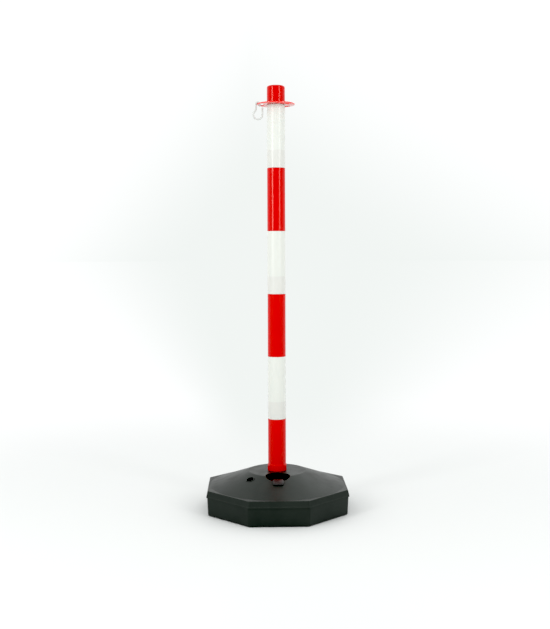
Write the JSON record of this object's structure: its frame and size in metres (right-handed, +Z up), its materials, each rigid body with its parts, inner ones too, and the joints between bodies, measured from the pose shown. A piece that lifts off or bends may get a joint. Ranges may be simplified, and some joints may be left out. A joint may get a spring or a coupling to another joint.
{
  "type": "chain post barrier",
  "caption": "Freestanding red and white chain post on a water-filled octagonal base, with plug-together segments, a chain ring, an open hook and a filler bung.",
  "frame": {"origin": "centre of the base's underside, on the ground", "axes": "+Z up along the post, -Y towards the base's filler and vent side, +X to the right seen from the front"},
  "size_m": [0.3104, 0.3104, 0.9386],
  "materials": {
    "black_plastic": "satin",
    "bung_plastic": "satin",
    "red_plastic": "satin",
    "white_plastic": "satin",
    "hook_plastic": "satin",
    "water": "gloss"
  },
  "bodies": {
    "base": {"base_pan": "black_plastic", "base_cover": "black_plastic", "water_ballast": "water"},
    "bung": {"filler_bung": "bung_plastic"},
    "foot": {"red_foot_segment": "red_plastic"},
    "segment_2": {"white_lower_segment": "white_plastic"},
    "segment_3": {"red_middle_segment": "red_plastic"},
    "segment_4": {"white_middle_segment": "white_plastic"},
    "segment_5": {"red_upper_segment": "red_plastic"},
    "segment_6": {"white_top_segment": "white_plastic"},
    "cap": {"top_cap": "red_plastic"},
    "ring": {"chain_ring": "red_plastic"},
    "hook": {"chain_hook": "hook_plastic"}
  },
  "joints": [
    {"name": "bung_pull", "type": "slide", "parent": "base", "child": "bung", "axis": [0, 0, 1], "range_m": [0, 0.03]},
    {"name": "post_lift", "type": "slide", "parent": "base", "child": "foot", "axis": [0, 0, 1], "range_m": [0, 0.076]},
    {"name": "segment_2_pull", "type": "slide", "parent": "foot", "child": "segment_2", "axis": [0, 0, 1], "range_m": [0, 0.039]},
    {"name": "segment_3_pull", "type": "slide", "parent": "segment_2", "child": "segment_3", "axis": [0, 0, 1], "range_m": [0, 0.039]},
    {"name": "segment_4_pull", "type": "slide", "parent": "segment_3", "child": "segment_4", "axis": [0, 0, 1], "range_m": [0, 0.039]},
    {"name": "segment_5_pull", "type": "slide", "parent": "segment_4", "child": "segment_5", "axis": [0, 0, 1], "range_m": [0, 0.039]},
    {"name": "segment_6_pull", "type": "slide", "parent": "segment_5", "child": "segment_6", "axis": [0, 0, 1], "range_m": [0, 0.039]},
    {"name": "cap_pull", "type": "slide", "parent": "segment_6", "child": "cap", "axis": [0, 0, 1], "range_m": [0, 0.039]},
    {"name": "ring_turn", "type": "hinge", "parent": "segment_6", "child": "ring", "pos_m": [0, 0, 0.89615], "axis": [0, 0, 1], "continuous": true},
    {"name": "hook_swing", "type": "hinge", "parent": "ring", "child": "hook", "pos_m": [-0.03975, 0, 0.8974], "axis": [0, 1, 0], "range_deg": [-19, 196]}
  ]
}
